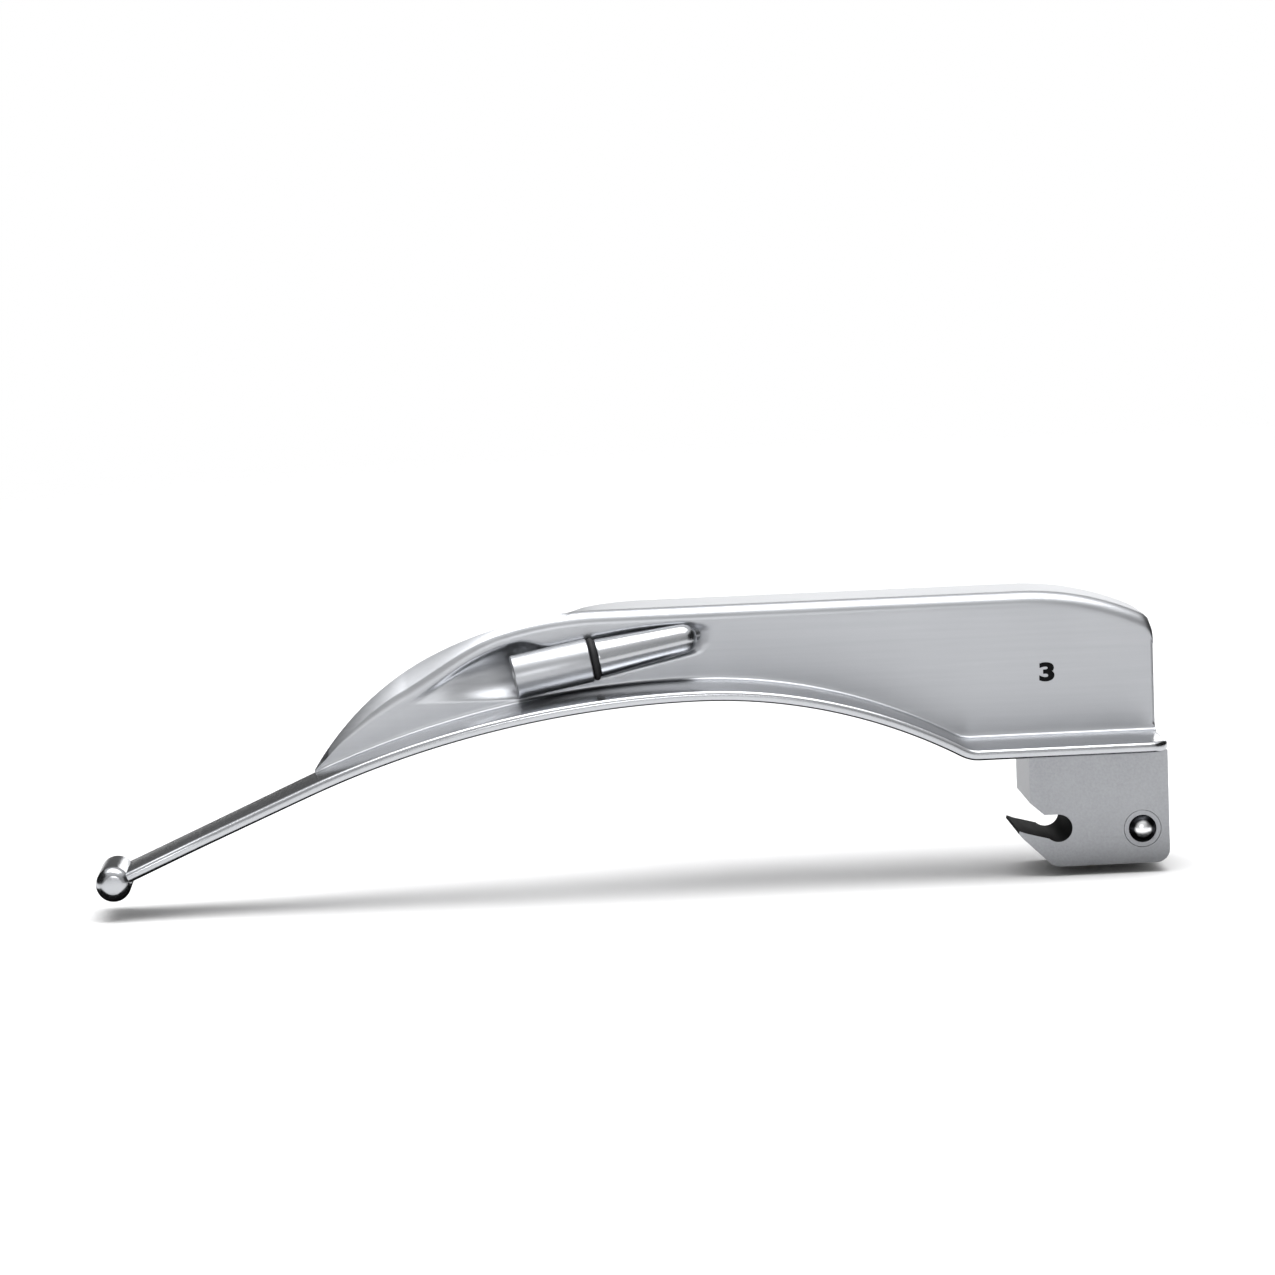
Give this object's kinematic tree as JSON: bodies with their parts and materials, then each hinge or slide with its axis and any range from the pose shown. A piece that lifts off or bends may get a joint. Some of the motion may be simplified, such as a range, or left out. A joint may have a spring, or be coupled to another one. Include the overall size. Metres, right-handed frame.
{
  "type": "laryngoscope blade",
  "caption": "Curved hook-on laryngoscope blade with a side web and flange, a screw-in lamp, sprung detent balls and an electrical contact under the heel.",
  "frame": {"origin": "centre of the hook's pin seat, halfway across the heel", "axes": "+X from the tip to the back of the heel, +Z away from the handle towards the flange, +Y along the pin, towards the side that the flange reaches over"},
  "size_m": [0.1308, 0.0213, 0.0341],
  "materials": {
    "polished_steel": "polished",
    "satin_steel": "satin",
    "contact_brass": "polished",
    "copper": "drawn wire",
    "black_rubber": "moulded",
    "black_plastic": "moulded",
    "white_plastic": "extruded",
    "cement": "set",
    "clear_glass": "clear",
    "blue_glass": "clear"
  },
  "bodies": {
    "blade": {"spatula": "polished_steel", "tip_bead": "polished_steel", "web_and_flange": "satin_steel", "heel_block": "satin_steel", "ball_ring_near": "satin_steel", "ball_ring_far": "satin_steel", "detent_spring": "polished_steel", "contact_pin": "contact_brass", "contact_insulator": "black_plastic", "conduit_tube": "satin_steel", "lead_insulation": "white_plastic", "lead_conductor": "copper", "lamp_socket": "polished_steel", "socket_insulator": "black_plastic", "socket_contact": "contact_brass"},
    "near_ball": {"detent_ball_near": "polished_steel"},
    "far_ball": {"detent_ball_far": "polished_steel"},
    "seal": {"seal_ring": "black_rubber"},
    "lamp": {"lamp_shell": "satin_steel", "lamp_glass": "clear_glass", "lamp_bead": "blue_glass", "lamp_supports": "satin_steel", "lamp_filament": "satin_steel", "lamp_cement": "cement", "lamp_insulator": "black_plastic", "lamp_tip": "contact_brass", "lamp_feed_wire": "copper"}
  },
  "joints": [
    {"name": "near_ball_press", "type": "slide", "parent": "blade", "child": "near_ball", "axis": [0, 1, 0], "range_m": [0, 0.0007], "stiffness_N_per_m": 4000, "springref_m": -0.0005, "deforming": ["detent_spring"]},
    {"name": "far_ball_press", "type": "slide", "parent": "blade", "child": "far_ball", "axis": [0, -1, 0], "range_m": [0, 0.0007], "stiffness_N_per_m": 4000, "springref_m": -0.0005, "deforming": ["detent_spring"]},
    {"name": "lamp_travel", "type": "slide", "parent": "blade", "child": "seal", "axis": [-0.9835, -0.0515, -0.1736], "range_m": [0, 0.0035]},
    {"name": "lamp_turn", "type": "hinge", "parent": "seal", "child": "lamp", "pos_m": [-0.0552, 0.0011, 0.0225], "axis": [-0.9835, -0.0515, -0.1736], "range_deg": [0, 1801]}
  ],
  "couplings": [
    {"joint": "lamp_turn", "follows": "lamp_travel", "rad_per_m": 8976}
  ]
}
